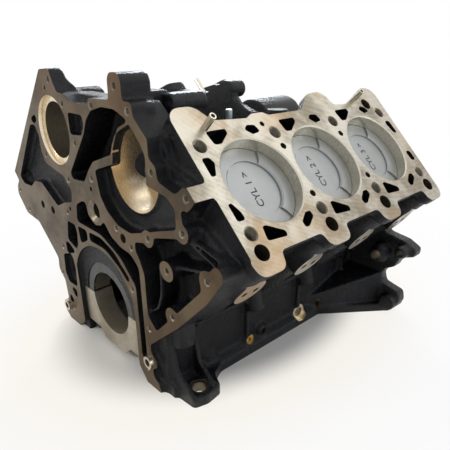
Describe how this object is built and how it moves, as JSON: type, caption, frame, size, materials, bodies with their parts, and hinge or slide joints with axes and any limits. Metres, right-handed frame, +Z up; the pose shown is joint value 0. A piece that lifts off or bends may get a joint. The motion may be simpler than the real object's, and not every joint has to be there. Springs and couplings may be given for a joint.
{
  "type": "engine block",
  "caption": "V-shaped cylinder block casting with machined decks and timing face, bearing caps bolted in and pistons standing in its cylinders.",
  "frame": {"origin": "on the crank axis, at the front face of the first bearing web", "axes": "+Y back along the crank axis, +Z up between the banks, +X to the right bank as seen from the timing end"},
  "size_m": [0.4448, 0.343, 0.316],
  "materials": {
    "black_casting": "cast surfaces painted black semi-gloss, machined faces bare",
    "machined_iron": "milled, bare",
    "dark_steel": "dark oxide",
    "bright_steel": "ground",
    "piston_alloy": "turned, fine matt",
    "brass": "bright",
    "zinc_plate": "bright zinc"
  },
  "bodies": {
    "block": {"cylinder_block": "black_casting", "main_cap_1": "machined_iron", "main_cap_bolts_1": "dark_steel", "main_cap_2": "machined_iron", "main_cap_bolts_2": "dark_steel", "main_cap_3": "machined_iron", "main_cap_bolts_3": "dark_steel", "main_cap_4": "machined_iron", "main_cap_bolts_4": "dark_steel", "deck_pins_right": "bright_steel", "deck_pins_left": "bright_steel", "front_dowels": "bright_steel", "side_plug": "brass", "gallery_plugs": "bright_steel", "valley_plug": "zinc_plate", "valley_pin": "zinc_plate"},
    "piston_body_1": {"piston_1": "piston_alloy", "piston_rings_1": "dark_steel", "wrist_pin_1": "bright_steel"},
    "piston_body_2": {"piston_2": "piston_alloy", "piston_rings_2": "dark_steel", "wrist_pin_2": "bright_steel"},
    "piston_body_3": {"piston_3": "piston_alloy", "piston_rings_3": "dark_steel", "wrist_pin_3": "bright_steel"},
    "piston_body_4": {"piston_4": "piston_alloy", "piston_rings_4": "dark_steel", "wrist_pin_4": "bright_steel"},
    "piston_body_5": {"piston_5": "piston_alloy", "piston_rings_5": "dark_steel", "wrist_pin_5": "bright_steel"},
    "piston_body_6": {"piston_6": "piston_alloy", "piston_rings_6": "dark_steel", "wrist_pin_6": "bright_steel"}
  },
  "joints": [
    {"name": "piston_1_slide", "type": "slide", "parent": "block", "child": "piston_body_1", "axis": [0.7071, 0, 0.7071], "range_m": [-0.076, 0.0125]},
    {"name": "piston_2_slide", "type": "slide", "parent": "block", "child": "piston_body_2", "axis": [0.7071, 0, 0.7071], "range_m": [-0.076, 0.0125]},
    {"name": "piston_3_slide", "type": "slide", "parent": "block", "child": "piston_body_3", "axis": [0.7071, 0, 0.7071], "range_m": [-0.076, 0.0125]},
    {"name": "piston_4_slide", "type": "slide", "parent": "block", "child": "piston_body_4", "axis": [-0.7071, 0, 0.7071], "range_m": [-0.076, 0.0125]},
    {"name": "piston_5_slide", "type": "slide", "parent": "block", "child": "piston_body_5", "axis": [-0.7071, 0, 0.7071], "range_m": [-0.076, 0.0125]},
    {"name": "piston_6_slide", "type": "slide", "parent": "block", "child": "piston_body_6", "axis": [-0.7071, 0, 0.7071], "range_m": [-0.076, 0.0125]}
  ]
}
